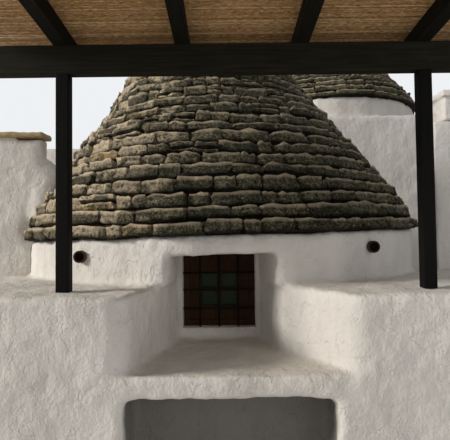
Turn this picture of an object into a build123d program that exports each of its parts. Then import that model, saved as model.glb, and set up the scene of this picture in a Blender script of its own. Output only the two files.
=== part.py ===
from build123d import *
from math import ceil, cos, pi, sin
import os

# Trullo house in millimetres. The origin is on the ground under the tip of the main cone,
# +X runs to the right along the front, +Y runs back from the pergola, +Z is up.

# Main trullo, a round room under a cone of stone courses
room_radius = 1250
drum_radius = 2150
eave_height = 1700
floor_thickness = 120
roof_eave_overhang = 70
roof_shoulder_inset = 60
roof_shoulder_height = 330
roof_rise = 3100
roof_tip_radius = 110
dome_rise = 2300
dome_ring_height = 230
course_height = 112
stone_length = 480
fewest_stones = 8
dome_sides = 24
pinnacle_height = 520
pinnacle_foot_radius = 120
pinnacle_foot_height = 120
pinnacle_neck_radius = 72
pinnacle_disc_radius = 144
pinnacle_disc_height = 240
pinnacle_disc_thickness = 30
pinnacle_ball_radius = 120

# Window recess in the front of the main trullo
window_centre_x = -20
window_width = 630
window_lintel = 170
window_sill_step = 90
window_plane_y = -1570
jamb_step = 30
recess_lintel = 140
recess_corner_left_x = -610
recess_corner_right_x = 870
recess_lip = 140
recess_lip_radius = 150
recess_waist_x = 475
recess_waist_y = -2060
recess_waist_radius = 420
recess_neck_left_x = -415
recess_neck_right_x = 450
recess_floor_height = 810
recess_slab_thickness = 150
sill_depth = 300

# Niche under the recess floor
niche_left_x = -620
niche_right_x = 740
niche_depth = 330

# Bench walls in front of the main trullo
bench_height = 1320
bench_front_y = -2660
bench_left_x = -3600
bench_right_x = 4060

# Joinery and ironwork of the window
frame_section = 50
frame_depth = 70
frame_setback = 90
leaf_depth = 40
leaf_gap = 2
centre_stile = 19
pane_width = 134
pane_rail = 32
pane_top_drop = 170
pane_bottom_rise = 178
pane_thickness = 4
grille_bar = 14
grille_setback = 30
grille_upright_count = 3
grille_upright_spacing = 168
grille_rail_shares = (0.257, 0.515, 0.75)

# Roof water spouts
spout_radius = 50
spout_bore_radius = 38
spout_length = 60
spout_root = 120
spout_left_x = -1140
spout_left_drop = 160
spout_right_x = 1270
spout_right_drop = 110

# Rear block with the second trullo on its flat roof
wall_thickness = 450
rear_clearance = 130
rear_left_x = -1000
rear_corner_x = 3600
rear_corner_y = 3000
rear_right_x = 4060
rear_back_y = 6200
rear_wall_height = 3550
rear_slab_thickness = 230
passage_width = 800
passage_lintel = 150
second_centre_x = 2320
second_centre_y = 4260
second_drum_radius = 1720
second_room_radius = 1150
second_drum_height = 410
second_eave_overhang = 70
second_shoulder_inset = 30
second_shoulder_height = 250
second_rise = 2190
second_tip_radius = 110
second_dome_rise = 1600

# Plank door at the back
door_centre_x = 1300
door_width = 900
door_height = 2050
door_frame_section = 70
door_leaf_thickness = 45
door_setback = 120

# Yard walls and chimney
yard_left_front_y = -1000
yard_left_x = -3600
yard_left_end_x = -1815
yard_left_thickness = 180
yard_left_height = 2690
coping_thickness = 80
coping_overhang = 35
rear_yard_height = 3250
yard_right_front_y = -770
yard_right_clearance = 120
yard_right_height = 2900
chimney_x = 2395
chimney_width = 440
chimney_height = 250
chimney_flue = 220
chimney_cap_overhang = 35
chimney_cap_height = 70
plaster_joint = 0.6

# Pergola of dark timber with a cane mat
post_section = 90
post_left_x = -1082
post_right_x = 1446
post_house_y = -2385
post_garden_y = -5000
beam_width = 90
beam_height = 202
beam_underside = 2838
beam_overhang = 700
rafter_count = 4
rafter_width = 95
rafter_shift = -10
rafter_height = 120
rafter_slope = 4
rafter_seat = 12
rafter_tail = 300
mat_thickness = 25
mat_overhang = 720

# Sizes that follow from the ones above
roof_eave_radius = drum_radius + roof_eave_overhang
roof_shoulder_radius = drum_radius - roof_shoulder_inset
second_eave_radius = second_drum_radius + second_eave_overhang
second_shoulder_radius = second_drum_radius - second_shoulder_inset
rear_front_y = drum_radius + rear_clearance
yard_right_x = drum_radius + yard_right_clearance
passage_height = eave_height - passage_lintel
window_sill_height = recess_floor_height + window_sill_step
window_head_height = eave_height - window_lintel
recess_head_height = eave_height - recess_lintel
pane_height = (window_head_height - window_sill_height - pane_top_drop - pane_bottom_rise
               - pane_rail) / 2
rear_roof_top = rear_wall_height + rear_slab_thickness
second_eave_height = rear_roof_top + second_drum_height
recess_slab_underside = recess_floor_height - recess_slab_thickness
reach = 2 * rear_back_y


def block(x0, x1, y0, y1, z0, z1):
    """Box between two opposite corners."""
    return Pos((x0 + x1) / 2, (y0 + y1) / 2, (z0 + z1) / 2) * Box(x1 - x0, y1 - y0, z1 - z0)


def disc(radius, z0, z1, x=0, y=0):
    """Upright round mass between two heights."""
    return Pos(x, y, (z0 + z1) / 2) * Cylinder(radius, z1 - z0)


def prism(points, z0, z1):
    """Upright mass over a closed outline in plan."""
    plan = make_face(Polyline(*points, close=True))
    return Pos(0, 0, z0) * extrude(plan, amount=z1 - z0)


def wedge(start, end, z0, z1):
    """Sector about the main axis, in degrees from +X, less than a half turn."""
    corners = [(0, 0)] + [(reach * cos(a * pi / 180), reach * sin(a * pi / 180)) for a in (start, end)]
    return prism(corners, z0, z1)


# Recess

def recess_jambs():
    """Corners of the recess on the left and the right of the window."""
    half = window_width / 2 + jamb_step
    return (window_centre_x - half, window_plane_y), (window_centre_x + half, window_plane_y)


def recess_outline():
    """Plan of the flared recess: straight flank on the left, bent one on the right, both with a
    rounded lip at the front."""
    left_jamb, right_jamb = recess_jambs()
    front = bench_front_y
    left_end = recess_corner_left_x - recess_lip
    right_end = recess_corner_right_x + recess_lip
    left = FilletPolyline(left_jamb, (recess_corner_left_x, front), (left_end, front),
                          radius=recess_lip_radius)
    right = FilletPolyline(right_jamb, (recess_waist_x, recess_waist_y), (recess_corner_right_x, front),
                           (right_end, front), radius=[recess_waist_radius, recess_lip_radius])
    closing = Polyline((left_end, front), (left_end, front - wall_thickness),
                       (right_end, front - wall_thickness), (right_end, front))
    return make_face(left + right + closing + Line(left_jamb, right_jamb))


def neck_space(z0, z1):
    """The narrower part of the recess through the round wall, over the bench tops."""
    left_jamb, right_jamb = recess_jambs()
    return prism([left_jamb, (recess_neck_left_x, -drum_radius), (recess_neck_right_x, -drum_radius),
                  right_jamb], z0, z1)


def recess_space(z0, z1):
    return Pos(0, 0, z0) * extrude(recess_outline(), amount=z1 - z0)


def niche_back_y():
    return bench_front_y + niche_depth


def window_passage(z0, z1):
    """Straight hole behind the window plane, through to the room."""
    half = window_width / 2
    return block(window_centre_x - half, window_centre_x + half, window_plane_y, 0, z0, z1)


# Main trullo walls

def drum_plan_mass():
    """Round wall with a square stub at the back that meets the rear block."""
    stub = block(-passage_width / 2 - wall_thickness, passage_width / 2 + wall_thickness,
                 0, rear_front_y, 0, eave_height)
    return disc(drum_radius, 0, eave_height) + stub - disc(room_radius, 0, eave_height)


def passage_space(z0, z1):
    return block(-passage_width / 2, passage_width / 2, 0, rear_front_y + wall_thickness, z0, z1)


def drum_segment(start, end):
    """Part of the round wall, which runs on over the recess as its lintel."""
    hollow = recess_space(0, bench_height) + neck_space(bench_height, recess_head_height)
    cut = drum_plan_mass() - hollow - window_passage(0, eave_height)
    return (cut - passage_space(0, eave_height)) & wedge(start, end, 0, eave_height)


def wall_over_window():
    return window_passage(window_head_height, eave_height) - disc(room_radius, 0, eave_height)


def wall_under_window():
    body = window_passage(0, window_sill_height) - disc(room_radius, 0, eave_height)
    sill = block(window_centre_x - window_width / 2, window_centre_x + window_width / 2,
                 window_plane_y, window_plane_y + sill_depth, 0, window_sill_height)
    return body & (sill + window_passage(0, recess_floor_height))


def recess_base():
    """Masonry under the recess floor, behind the niche."""
    front_half = block(-reach, reach, niche_back_y(), window_plane_y, 0, recess_slab_underside)
    return recess_space(0, recess_slab_underside) & front_half


def recess_slab():
    deck = block(-reach, reach, bench_front_y, window_plane_y, recess_slab_underside, recess_floor_height)
    return recess_space(recess_slab_underside, recess_floor_height) & deck


def wall_over_passage():
    body = passage_space(passage_height, eave_height) - disc(room_radius, 0, eave_height)
    return body & block(-reach, reach, 0, rear_front_y, 0, eave_height)


def main_floor():
    """Round floor of the room with the tongue that runs through the passage."""
    return disc(room_radius - plaster_joint, 0, floor_thickness) + passage_space(0, floor_thickness)


# Bench walls

def bench_mass(x0, x1, back_y):
    mass = block(x0, x1, bench_front_y, back_y, 0, bench_height)
    mass = mass - disc(drum_radius + plaster_joint, 0, bench_height)
    niche = block(niche_left_x, niche_right_x, bench_front_y, niche_back_y(), 0, recess_slab_underside)
    return mass - recess_space(recess_slab_underside, bench_height) - niche - recess_base()


def bench_wall_left():
    return bench_mass(bench_left_x, window_centre_x, yard_left_front_y)


def bench_wall_right():
    return bench_mass(window_centre_x, bench_right_x, yard_right_front_y)


# Stone roofs

def roof_radius(height, eave, shoulder, shoulder_height, rise, tip):
    """Outer radius of the cone at a height over its eave: a steep foot under a straight cone."""
    if height < shoulder_height:
        return eave + (shoulder - eave) * height / shoulder_height
    return shoulder + (tip - shoulder) * (height - shoulder_height) / (rise - shoulder_height)


def corbelled_dome(radius, rise):
    """Stepped hollow under the stones, ring upon ring of smaller radius."""
    rings = ceil(rise / dome_ring_height)
    hollow = [
        Pos(0, 0, i * rise / rings)
        * extrude(RegularPolygon(radius * (1 - i / rings), dome_sides, rotation=90), amount=rise / rings)
        for i in range(rings)
    ]
    return Part() + hollow


def course_polygon(radius, turn):
    """One course of stones: a many-sided ring with about one side for each stone."""
    sides = max(fewest_stones, round(2 * pi * radius / stone_length))
    return RegularPolygon(radius, sides, rotation=turn * 180 / sides)


def stone_roof(eave, shoulder, shoulder_height, rise, tip, room, inner_rise):
    count = round(rise / course_height)
    step = rise / count
    courses = []
    for i in range(count):
        radius = roof_radius(i * step, eave, shoulder, shoulder_height, rise, tip)
        courses.append(Pos(0, 0, i * step) * extrude(course_polygon(radius, i % 2), amount=step))
    return (Part() + courses) - corbelled_dome(room, inner_rise)


def main_roof():
    roof = stone_roof(roof_eave_radius, roof_shoulder_radius, roof_shoulder_height, roof_rise,
                      roof_tip_radius, room_radius, dome_rise)
    return Pos(0, 0, eave_height) * roof


def second_roof():
    roof = stone_roof(second_eave_radius, second_shoulder_radius, second_shoulder_height, second_rise,
                      second_tip_radius, second_room_radius, second_dome_rise)
    return Pos(second_centre_x, second_centre_y, second_eave_height) * roof


def pinnacle():
    """Turned stone finial: a foot that narrows to a neck, a flat disc and a faceted ball."""
    disc_top = pinnacle_disc_height + pinnacle_disc_thickness
    middle = pinnacle_height - pinnacle_ball_radius
    ball = [(pinnacle_ball_radius * cos(a * pi / 8), middle + pinnacle_ball_radius * sin(a * pi / 8))
            for a in (-3, -1, 1, 3)]
    profile = Polyline(
        (0, 0), (pinnacle_foot_radius, 0), (pinnacle_neck_radius, pinnacle_foot_height),
        (pinnacle_neck_radius, pinnacle_disc_height), (pinnacle_disc_radius, pinnacle_disc_height),
        (pinnacle_disc_radius, disc_top), (ball[0][0], disc_top), *ball, (0, pinnacle_height),
        close=True)
    return revolve(make_face(Plane.XZ * profile), Axis.Z)


# Window

def window_frame():
    half = window_width / 2
    front = window_plane_y + frame_setback
    outer = block(window_centre_x - half, window_centre_x + half, front, front + frame_depth,
                  window_sill_height, window_head_height)
    inner = block(window_centre_x - half + frame_section, window_centre_x + half - frame_section,
                  front, front + frame_depth,
                  window_sill_height + frame_section, window_head_height - frame_section)
    return outer - inner


def pane_spaces(side, depth0, depth1):
    """The two pane openings of one leaf; side is -1 on the left and 1 on the right."""
    spaces = []
    for row in range(2):
        top = window_head_height - pane_top_drop - row * (pane_height + pane_rail)
        near = window_centre_x + side * centre_stile
        far = near + side * pane_width
        spaces.append(block(min(near, far), max(near, far), depth0, depth1, top - pane_height, top))
    return spaces


def leaf_front_y():
    return window_plane_y + frame_setback + (frame_depth - leaf_depth) / 2


def window_leaf(side):
    front = leaf_front_y()
    near = window_centre_x + side * leaf_gap / 2
    far = window_centre_x + side * (window_width / 2 - frame_section)
    leaf = block(min(near, far), max(near, far), front, front + leaf_depth,
                 window_sill_height + frame_section, window_head_height - frame_section)
    return leaf - pane_spaces(side, front, front + leaf_depth)


def window_panes():
    middle = leaf_front_y() + leaf_depth / 2
    panes = [p for side in (-1, 1)
             for p in pane_spaces(side, middle - pane_thickness / 2, middle + pane_thickness / 2)]
    return Compound(panes)


def window_grille():
    """Square bars let into the jambs, the sill and the wall over the window."""
    half = window_width / 2
    bar = grille_bar / 2
    y0 = window_plane_y + grille_setback
    bars = []
    for i in range(grille_upright_count):
        x = window_centre_x + (i - (grille_upright_count - 1) / 2) * grille_upright_spacing
        bars.append(block(x - bar, x + bar, y0, y0 + grille_bar, window_sill_height, window_head_height))
    for share in grille_rail_shares:
        z = window_sill_height + share * (window_head_height - window_sill_height)
        bars.append(block(window_centre_x - half, window_centre_x + half, y0, y0 + grille_bar,
                          z - bar, z + bar))
    return Part() + bars


# Roof water spouts

def drain_spout(x, drop):
    """Short clay pipe that stands out of the round wall, level and straight to the front."""
    wall_y = -(drum_radius ** 2 - x ** 2) ** 0.5
    start = Plane(origin=(x, wall_y + spout_root, eave_height - drop), z_dir=(0, -1, 0))
    pipe = start * extrude(Circle(spout_radius) - Circle(spout_bore_radius),
                           amount=spout_root + spout_length)
    return pipe - disc(drum_radius, 0, eave_height)


# Rear block

def rear_wall(x0, x1, y0, y1, z0=0):
    return block(x0, x1, y0, y1, z0, rear_wall_height)


def rear_front_wall_left():
    return rear_wall(rear_left_x, -passage_width / 2, rear_front_y, rear_front_y + wall_thickness)


def rear_front_wall_right():
    return rear_wall(passage_width / 2, rear_corner_x, rear_front_y, rear_front_y + wall_thickness)


def rear_wall_over_passage():
    return rear_wall(-passage_width / 2, passage_width / 2, rear_front_y,
                     rear_front_y + wall_thickness, passage_height)


def rear_corner_wall():
    """Set-back corner beside the second trullo."""
    side = rear_wall(rear_corner_x - wall_thickness, rear_corner_x, rear_front_y + wall_thickness,
                     rear_corner_y + wall_thickness)
    return side + rear_wall(rear_corner_x, rear_right_x, rear_corner_y, rear_corner_y + wall_thickness)


def rear_left_wall():
    return rear_wall(rear_left_x, rear_left_x + wall_thickness, rear_front_y + wall_thickness,
                     rear_back_y - wall_thickness)


def rear_right_wall():
    return rear_wall(rear_right_x - wall_thickness, rear_right_x, rear_corner_y + wall_thickness,
                     rear_back_y - wall_thickness)


def rear_back_wall(x0, x1, z0=0):
    return rear_wall(x0, x1, rear_back_y - wall_thickness, rear_back_y, z0)


def rear_floor():
    inner_front_y = rear_front_y + wall_thickness
    floor = block(rear_left_x + wall_thickness, rear_right_x - wall_thickness,
                  inner_front_y, rear_back_y - wall_thickness, 0, floor_thickness)
    corner = block(rear_corner_x - wall_thickness, rear_right_x, inner_front_y,
                   rear_corner_y + wall_thickness, 0, floor_thickness)
    return floor - corner


def rear_roof_slab():
    slab = block(rear_left_x, rear_right_x, rear_front_y, rear_back_y, rear_wall_height, rear_roof_top)
    notch = block(rear_corner_x, rear_right_x, rear_front_y, rear_corner_y,
                  rear_wall_height, rear_roof_top)
    hole = disc(second_room_radius, rear_wall_height, rear_roof_top, second_centre_x, second_centre_y)
    return slab - notch - hole


def second_drum():
    ring = disc(second_drum_radius, rear_roof_top, second_eave_height, second_centre_x, second_centre_y)
    return ring - disc(second_room_radius, rear_roof_top, second_eave_height,
                       second_centre_x, second_centre_y)


# Plank door

def door_frame():
    half = door_width / 2
    y1 = rear_back_y - door_setback
    y0 = y1 - door_frame_section
    outer = block(door_centre_x - half, door_centre_x + half, y0, y1, 0, door_height)
    inner = block(door_centre_x - half + door_frame_section, door_centre_x + half - door_frame_section,
                  y0, y1, 0, door_height - door_frame_section)
    return outer - inner


def door_leaf():
    half = door_width / 2 - door_frame_section
    y1 = rear_back_y - door_setback
    return block(door_centre_x - half, door_centre_x + half, y1 - door_leaf_thickness, y1,
                 0, door_height - door_frame_section)


# Yard walls and chimney

def trullo_envelope():
    """Space that the round wall and its stone roof take, with a joint round them."""
    gap = plaster_joint
    lip = roof_eave_radius + gap
    foot = Pos(0, 0, eave_height + roof_shoulder_height / 2) * Cylinder(lip, roof_shoulder_height)
    top = Pos(0, 0, eave_height + roof_shoulder_height + (roof_rise - roof_shoulder_height) / 2) * Cone(
        lip, roof_tip_radius + lip - roof_shoulder_radius, roof_rise - roof_shoulder_height)
    return disc(drum_radius + gap, 0, eave_height) + foot + top


def yard_wall_left():
    wall = block(yard_left_x, yard_left_end_x, yard_left_front_y,
                 yard_left_front_y + yard_left_thickness, 0, yard_left_height)
    return wall - trullo_envelope()


def yard_wall_coping():
    return block(yard_left_x - coping_overhang, yard_left_end_x + coping_overhang,
                 yard_left_front_y - coping_overhang,
                 yard_left_front_y + yard_left_thickness + coping_overhang,
                 yard_left_height, yard_left_height + coping_thickness)


def rear_yard_wall():
    return block(yard_left_x, rear_left_x, rear_front_y, rear_front_y + wall_thickness,
                 0, rear_yard_height)


def yard_wall_right():
    return block(yard_right_x, rear_right_x, yard_right_front_y, yard_right_front_y + wall_thickness,
                 0, yard_right_height)


def chimney_stack():
    stack = block(chimney_x, chimney_x + chimney_width, yard_right_front_y,
                  yard_right_front_y + wall_thickness, yard_right_height,
                  yard_right_height + chimney_height)
    return stack - flue_space(yard_right_height, yard_right_height + chimney_height)


def flue_space(z0, z1):
    x = chimney_x + chimney_width / 2
    y = yard_right_front_y + wall_thickness / 2
    half = chimney_flue / 2
    return block(x - half, x + half, y - half, y + half, z0, z1)


def chimney_cap():
    base = yard_right_height + chimney_height
    out = chimney_cap_overhang
    cap = block(chimney_x - out, chimney_x + chimney_width + out, yard_right_front_y - out,
                yard_right_front_y + wall_thickness + out, base, base + chimney_cap_height)
    return cap - flue_space(base, base + chimney_cap_height)


# Pergola

def garden_beam_underside():
    """The garden beam stands higher, so that the canes fall towards the house."""
    run = post_house_y - post_garden_y
    return beam_underside + run * sin(rafter_slope * pi / 180) / cos(rafter_slope * pi / 180)


def post_pair(y, foot, top):
    half = post_section / 2
    return [block(x - half, x + half, y - half, y + half, foot, top)
            for x in (post_left_x, post_right_x)]


def pergola_beam(y, underside):
    return block(post_left_x - beam_overhang, post_right_x + beam_overhang,
                 y - beam_width / 2, y + beam_width / 2, underside, underside + beam_height)


def pergola_beams():
    return [pergola_beam(post_house_y, beam_underside),
            pergola_beam(post_garden_y, garden_beam_underside())]


def roof_plane():
    """Plane on the rafters' undersides, over the middle of the house beam."""
    seat = beam_underside + beam_height - rafter_seat
    return Plane(origin=(0, post_house_y, seat)).rotated((-rafter_slope, 0, 0))


def rafter_run():
    run = (post_house_y - post_garden_y) / cos(rafter_slope * pi / 180)
    return -(run + rafter_tail), rafter_tail


def pergola_rafters():
    near, far = rafter_run()
    spacing = (post_right_x - post_left_x) / (rafter_count - 1)
    rafters = []
    for i in range(rafter_count):
        x = post_left_x + rafter_shift + i * spacing
        rafter = roof_plane() * block(x - rafter_width / 2, x + rafter_width / 2, near, far,
                                      0, rafter_height)
        rafters.append(rafter - pergola_beams())
    return Compound([solid for rafter in rafters for solid in rafter.solids()])


def cane_mat():
    near, far = rafter_run()
    return roof_plane() * block(post_left_x - mat_overhang, post_right_x + mat_overhang, near, far,
                                rafter_height, rafter_height + mat_thickness)


# All the pieces by name

def pieces():
    door_left = door_centre_x - door_width / 2
    door_right = door_centre_x + door_width / 2
    return {
        "main_floor": main_floor(),
        "drum_front_left": drum_segment(200, 270),
        "drum_front_right": drum_segment(270, 340),
        "drum_left": drum_segment(140, 200),
        "drum_right": drum_segment(-20, 40),
        "drum_back_left": drum_segment(90, 140),
        "drum_back_right": drum_segment(40, 90),
        "wall_over_window": wall_over_window(),
        "wall_under_window": wall_under_window(),
        "wall_over_passage": wall_over_passage(),
        "recess_base": recess_base(),
        "recess_slab": recess_slab(),
        "bench_wall_left": bench_wall_left(),
        "bench_wall_right": bench_wall_right(),
        "main_roof": main_roof(),
        "main_pinnacle": Pos(0, 0, eave_height + roof_rise) * pinnacle(),
        "window_frame": window_frame(),
        "window_leaf_left": window_leaf(-1),
        "window_leaf_right": window_leaf(1),
        "window_panes": window_panes(),
        "window_grille": window_grille(),
        "drain_spouts": Compound([drain_spout(spout_left_x, spout_left_drop),
                                  drain_spout(spout_right_x, spout_right_drop)]),
        "rear_front_wall_left": rear_front_wall_left(),
        "rear_front_wall_right": rear_front_wall_right(),
        "rear_wall_over_passage": rear_wall_over_passage(),
        "rear_corner_wall": rear_corner_wall(),
        "rear_left_wall": rear_left_wall(),
        "rear_right_wall": rear_right_wall(),
        "rear_back_wall_left": rear_back_wall(rear_left_x, door_left),
        "rear_back_wall_right": rear_back_wall(door_right, rear_right_x),
        "rear_wall_over_door": rear_back_wall(door_left, door_right, door_height),
        "rear_floor": rear_floor(),
        "rear_roof_slab": rear_roof_slab(),
        "second_drum": second_drum(),
        "second_roof": second_roof(),
        "second_pinnacle": Pos(second_centre_x, second_centre_y,
                               second_eave_height + second_rise) * pinnacle(),
        "door_frame": door_frame(),
        "door_leaf": door_leaf(),
        "yard_wall_left": yard_wall_left(),
        "yard_wall_coping": yard_wall_coping(),
        "rear_yard_wall": rear_yard_wall(),
        "yard_wall_right": yard_wall_right(),
        "chimney_stack": chimney_stack(),
        "chimney_cap": chimney_cap(),
        "pergola_posts": Compound(post_pair(post_house_y, bench_height, beam_underside)
                                  + post_pair(post_garden_y, 0, garden_beam_underside())),
        "pergola_beams": Compound(pergola_beams()),
        "pergola_rafters": pergola_rafters(),
        "cane_mat": cane_mat(),
    }


os.makedirs("parts", exist_ok=True)
for name, solid in pieces().items():
    export_step(solid, f"parts/{name}.step")
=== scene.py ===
import math
import random

import bmesh
import bpy
import numpy as np
from mathutils import Euler, Matrix, Vector, noise


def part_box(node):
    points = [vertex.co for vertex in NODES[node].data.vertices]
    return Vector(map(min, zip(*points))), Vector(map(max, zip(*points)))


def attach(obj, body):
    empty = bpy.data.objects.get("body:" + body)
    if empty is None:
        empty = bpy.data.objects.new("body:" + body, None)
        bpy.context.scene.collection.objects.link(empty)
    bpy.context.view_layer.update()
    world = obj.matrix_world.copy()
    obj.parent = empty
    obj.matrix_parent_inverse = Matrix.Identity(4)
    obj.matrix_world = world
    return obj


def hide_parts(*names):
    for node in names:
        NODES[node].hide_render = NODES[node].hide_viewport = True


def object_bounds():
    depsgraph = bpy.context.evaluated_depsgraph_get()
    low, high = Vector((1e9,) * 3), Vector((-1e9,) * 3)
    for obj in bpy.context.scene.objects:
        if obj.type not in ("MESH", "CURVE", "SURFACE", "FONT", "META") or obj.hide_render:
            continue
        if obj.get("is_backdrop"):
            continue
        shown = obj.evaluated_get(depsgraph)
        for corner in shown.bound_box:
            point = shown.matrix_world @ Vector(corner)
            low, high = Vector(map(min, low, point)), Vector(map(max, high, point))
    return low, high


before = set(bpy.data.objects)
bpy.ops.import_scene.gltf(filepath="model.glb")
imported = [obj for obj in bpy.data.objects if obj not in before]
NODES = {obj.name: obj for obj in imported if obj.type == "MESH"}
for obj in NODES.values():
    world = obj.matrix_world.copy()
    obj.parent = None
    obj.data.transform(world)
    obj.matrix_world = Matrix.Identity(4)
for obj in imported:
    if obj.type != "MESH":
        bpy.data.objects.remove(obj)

bl_info = {
    "name": "Trullo House",
    "version": (1, 0, 0),
    "blender": (4, 5, 0),
    "location": "View3D > Sidebar > Trullo",
    "description": "Dresses the trullo house in limewash, limestone, timber and cane",
    "category": "Object",
}

CAD_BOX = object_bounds()
BODY = "root"

# Nodes that the limewashed masonry stands for
FRONT_WALLS = [
    "drum_front_left", "drum_front_right", "wall_over_window", "wall_under_window",
    "recess_base", "recess_slab", "bench_wall_left", "bench_wall_right",
]
SIDE_WALLS = [
    "drum_left", "drum_right", "drum_back_left", "drum_back_right", "wall_over_passage",
    "yard_wall_left", "yard_wall_right",
]
CHIMNEY = ["chimney_stack", "chimney_cap"]
REAR_WALLS = [
    "rear_front_wall_left", "rear_front_wall_right", "rear_wall_over_passage",
    "rear_corner_wall", "rear_left_wall", "rear_right_wall", "rear_back_wall_left",
    "rear_back_wall_right", "rear_wall_over_door", "rear_roof_slab", "second_drum",
    "rear_yard_wall",
]


# Sizes and colours that a user would change

def number(name, description, default, **more):
    return bpy.props.FloatProperty(name=name, description=description, default=default, **more)


def metres(name, description, default, **more):
    return number(name, description, default, unit="LENGTH", **more)


def whole(name, description, default, **more):
    return bpy.props.IntProperty(name=name, description=description, default=default, **more)


def paint(name, description, default):
    return bpy.props.FloatVectorProperty(
        name=name, description=description, default=default, subtype="COLOR", size=3)


class MasonrySizes(bpy.types.PropertyGroup):
    """How coarse and how lumpy the limewashed masonry is."""
    front_grain: metres("Front grain", "Mesh size of the front masonry", 0.027, min=0.02)
    side_grain: metres("Side grain", "Mesh size of the side masonry", 0.035, min=0.02)
    rear_grain: metres("Rear grain", "Mesh size of the rear masonry", 0.055, min=0.03)
    chimney_grain: metres("Chimney grain", "Mesh size of the chimney", 0.016, min=0.01)
    swell: metres("Swell", "Depth of the broad lumps in the plaster", 0.014)
    ripple: metres("Ripple", "Depth of the trowel marks in the plaster", 0.006)
    rounding: whole("Rounding", "How often the plaster's corners are smoothed", 1, min=0)
    chipping: metres("Chipping", "Depth of the chips along the plaster's edges", 0.022)
    eave_tilt: metres(
        "Eave tilt", "How far the eave stands higher on the right than in the middle", 0.045)
    cone_lean: metres("Cone lean", "How far the cone leans to the left over its middle", 0.12)


class StoneSizes(bpy.types.PropertyGroup):
    """The courses of stones on the cones."""
    course: metres("Course", "Height of one course of stones", 0.112)
    length: metres("Length", "Usual length of a stone along its course", 0.30)
    depth: metres("Depth", "How far a stone reaches into the cone", 0.24)
    overlap: number("Overlap", "Length of a stone over the space that it has", 1.0)
    joint: metres("Joint", "Open joint between two courses", 0.006)
    uneven: number("Uneven", "How much the courses differ in height", 0.20)
    wander: metres("Wander", "How far a course runs out of level", 0.034)
    set_back: metres("Set back", "How far the stone faces lie behind the widest line", 0.07)
    split: number("Split", "Share of stones that are two thin ones", 0.08)
    seed: whole("Seed", "Picks another lay of stones", 7)


class CaneSizes(bpy.types.PropertyGroup):
    """The reeds of the pergola's mat."""
    pitch: metres("Pitch", "Distance from one reed to the next", 0.0115)
    thickness: metres("Thickness", "Diameter of a reed", 0.0105)
    seed: whole("Seed", "Picks another lay of reeds", 11)


class HouseColours(bpy.types.PropertyGroup):
    """Plain colours of the house, before weather and wear."""
    limewash: paint("Limewash", "Clean limewash", (0.76, 0.725, 0.68))
    limestone: paint("Limestone", "Weathered roof stone", (0.68, 0.56, 0.39))
    timber: paint("Timber", "Stained pergola timber", (0.0045, 0.0040, 0.0025))
    cane: paint("Cane", "Dry reeds", (0.40, 0.225, 0.08))


class StageSizes(bpy.types.PropertyGroup):
    """The camera, the lamps and the floor."""
    eye_x: metres("Eye across", "Camera place along the front", 0.04)
    eye_y: metres("Eye back", "Camera place along the depth", -5.52)
    eye_z: metres("Eye height", "Camera height", 1.70)
    tilt: number("Tilt", "Camera tilt above the horizon", math.radians(1.95), subtype="ANGLE")
    roll: number("Roll", "Camera roll", math.radians(-0.7), subtype="ANGLE")
    lens: number("Lens", "Focal length in millimetres", 36.0, unit="CAMERA")
    floor_reach: metres("Floor reach", "Half the width of the floor", 60.0)
    key_power: number("Key power", "Power of the main lamp in watts", 33000.0, unit="POWER")
    fill_power: number("Fill power", "Power of the fill lamp in watts", 80.0, unit="POWER")
    sky_light: number("Sky light", "Strength of the light from all round", 0.36)


# Node trees written as expressions

class Wire:
    """An output socket of a node tree, with arithmetic that adds Math nodes."""

    def __init__(self, plan, socket):
        self.plan = plan
        self.socket = socket

    def math(self, operation, *values):
        return self.plan.add("ShaderNodeMath", {"operation": operation}, dict(enumerate(values)))

    def __add__(self, other):
        return self.math("ADD", self, other)

    def __radd__(self, other):
        return self.math("ADD", other, self)

    def __sub__(self, other):
        return self.math("SUBTRACT", self, other)

    def __rsub__(self, other):
        return self.math("SUBTRACT", other, self)

    def __mul__(self, other):
        return self.math("MULTIPLY", self, other)

    def __rmul__(self, other):
        return self.math("MULTIPLY", other, self)


def socket_at(sockets, key):
    """A socket by its number, its identifier or else its name."""
    if isinstance(key, int):
        return sockets[key]
    return ([s for s in sockets if s.identifier == key] or [s for s in sockets if s.name == key])[0]


def set_stops(ramp, stops):
    while len(ramp.elements) < len(stops):
        ramp.elements.new(0.5)
    for element, (place, colour) in zip(ramp.elements, stops):
        element.position = place
        element.color = (*colour, 1.0)


class Plan:
    """A node tree whose nodes all come from one method."""

    def __init__(self, tree):
        self.tree = tree

    def feed(self, socket, value):
        """Links a wire to a socket, or a list of wires in turn, or sets the socket's value."""
        if isinstance(value, list):
            for one in value:
                self.feed(socket, one)
        elif isinstance(value, Wire):
            self.tree.links.new(value.socket, socket)
        elif socket.type == "RGBA":
            socket.default_value = (*value[:3], 1.0)
        else:
            socket.default_value = value

    def add(self, kind, settings=None, inputs=None, output=0):
        """Adds one node: its settings first, then what its sockets hold."""
        node = self.tree.nodes.new(kind)
        for key, value in (settings or {}).items():
            if key == "stops":
                set_stops(node.color_ramp, value)
            else:
                setattr(node, key, value)
        for key, value in (inputs or {}).items():
            self.feed(socket_at(node.inputs, key), value)
        return Wire(self, socket_at(node.outputs, output))


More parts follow.
